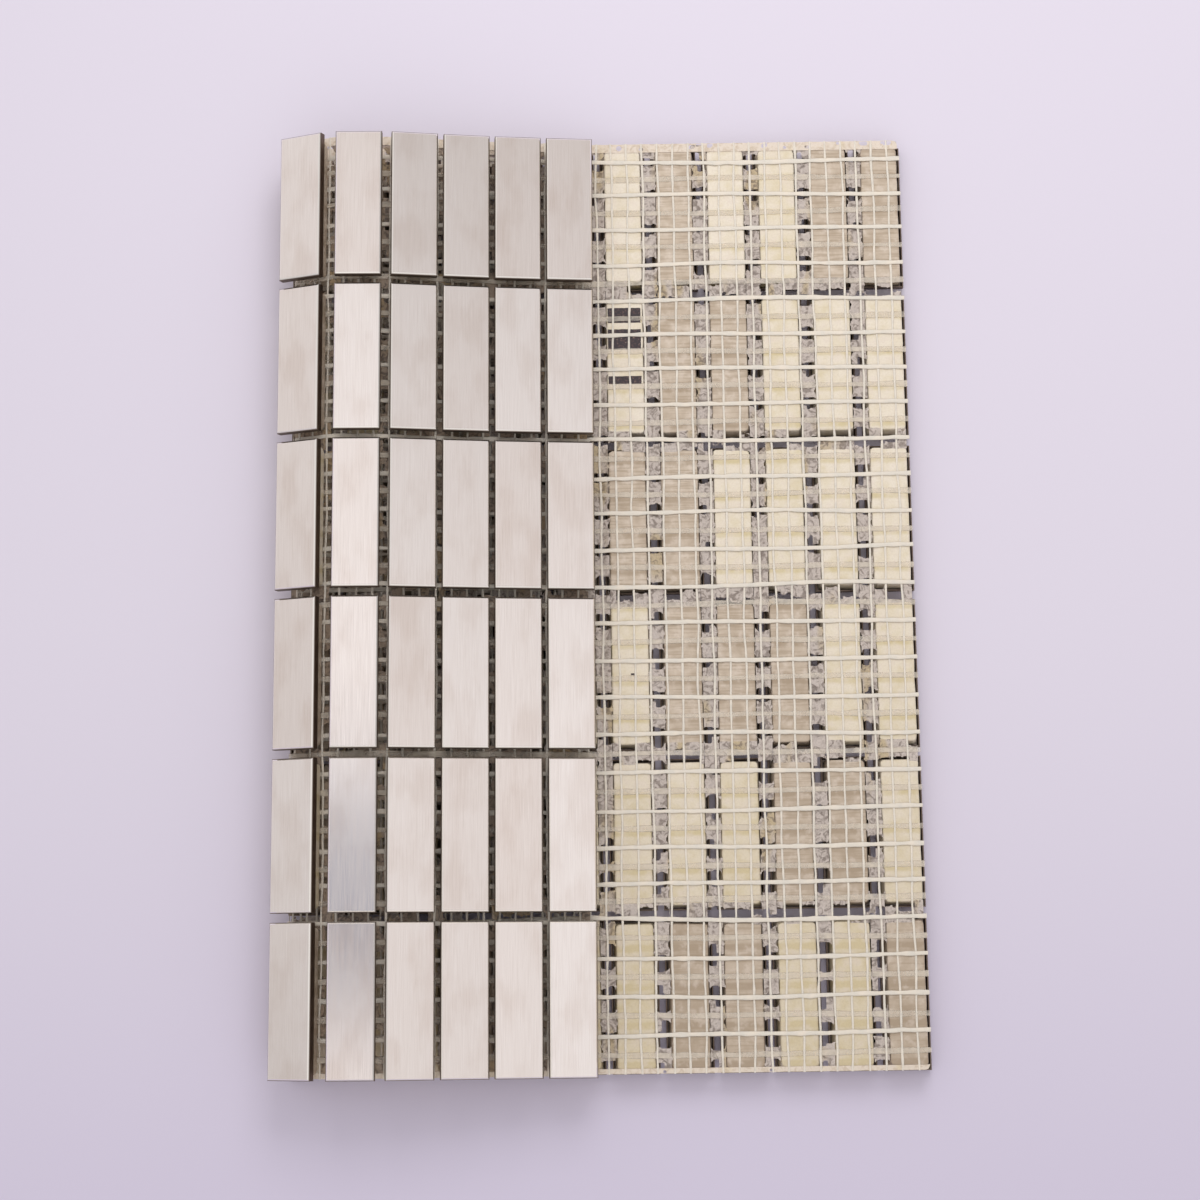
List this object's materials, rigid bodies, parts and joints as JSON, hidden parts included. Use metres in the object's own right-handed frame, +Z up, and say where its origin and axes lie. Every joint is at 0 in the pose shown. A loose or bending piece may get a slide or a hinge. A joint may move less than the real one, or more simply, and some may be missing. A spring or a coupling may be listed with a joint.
{
  "type": "stainless steel mosaic tile sheet",
  "caption": "Mesh-mounted mosaic tile sheet of brushed stainless steel chips on ceramic cores, folded over on itself with a third of the sheet on top.",
  "frame": {"origin": "middle of the folded sheet's footprint, on the floor that the lower steel faces lie on", "axes": "+X across the columns of chips, from the fold to the far edge; +Y along the chips; +Z up"},
  "size_m": [0.2062, 0.3048, 0.0262],
  "materials": {
    "steel": "stainless sheet, brushed lengthwise",
    "ceramic": "unglazed pressed ceramic, cream to tan",
    "mesh": "white glass-fibre scrim set in glue"
  },
  "bodies": {
    "root": {"steel_caps_01": "steel", "steel_caps_02": "steel", "steel_caps_03": "steel", "steel_caps_04": "steel", "steel_caps_05": "steel", "steel_caps_06": "steel", "steel_caps_07": "steel", "steel_caps_08": "steel", "steel_caps_09": "steel", "steel_caps_10": "steel", "steel_caps_11": "steel", "steel_caps_12": "steel", "steel_caps_13": "steel", "steel_caps_14": "steel", "steel_caps_15": "steel", "steel_caps_16": "steel", "steel_caps_17": "steel", "steel_caps_18": "steel", "ceramic_cores_01": "ceramic", "ceramic_cores_02": "ceramic", "ceramic_cores_03": "ceramic", "ceramic_cores_04": "ceramic", "ceramic_cores_05": "ceramic", "ceramic_cores_06": "ceramic", "ceramic_cores_07": "ceramic", "ceramic_cores_08": "ceramic", "ceramic_cores_09": "ceramic", "ceramic_cores_10": "ceramic", "ceramic_cores_11": "ceramic", "ceramic_cores_12": "ceramic", "ceramic_cores_13": "ceramic", "ceramic_cores_14": "ceramic", "ceramic_cores_15": "ceramic", "ceramic_cores_16": "ceramic", "ceramic_cores_17": "ceramic", "ceramic_cores_18": "ceramic", "mesh_warps": "mesh", "mesh_wefts_inner": "mesh", "mesh_wefts_outer": "mesh"}
  },
  "joints": []
}
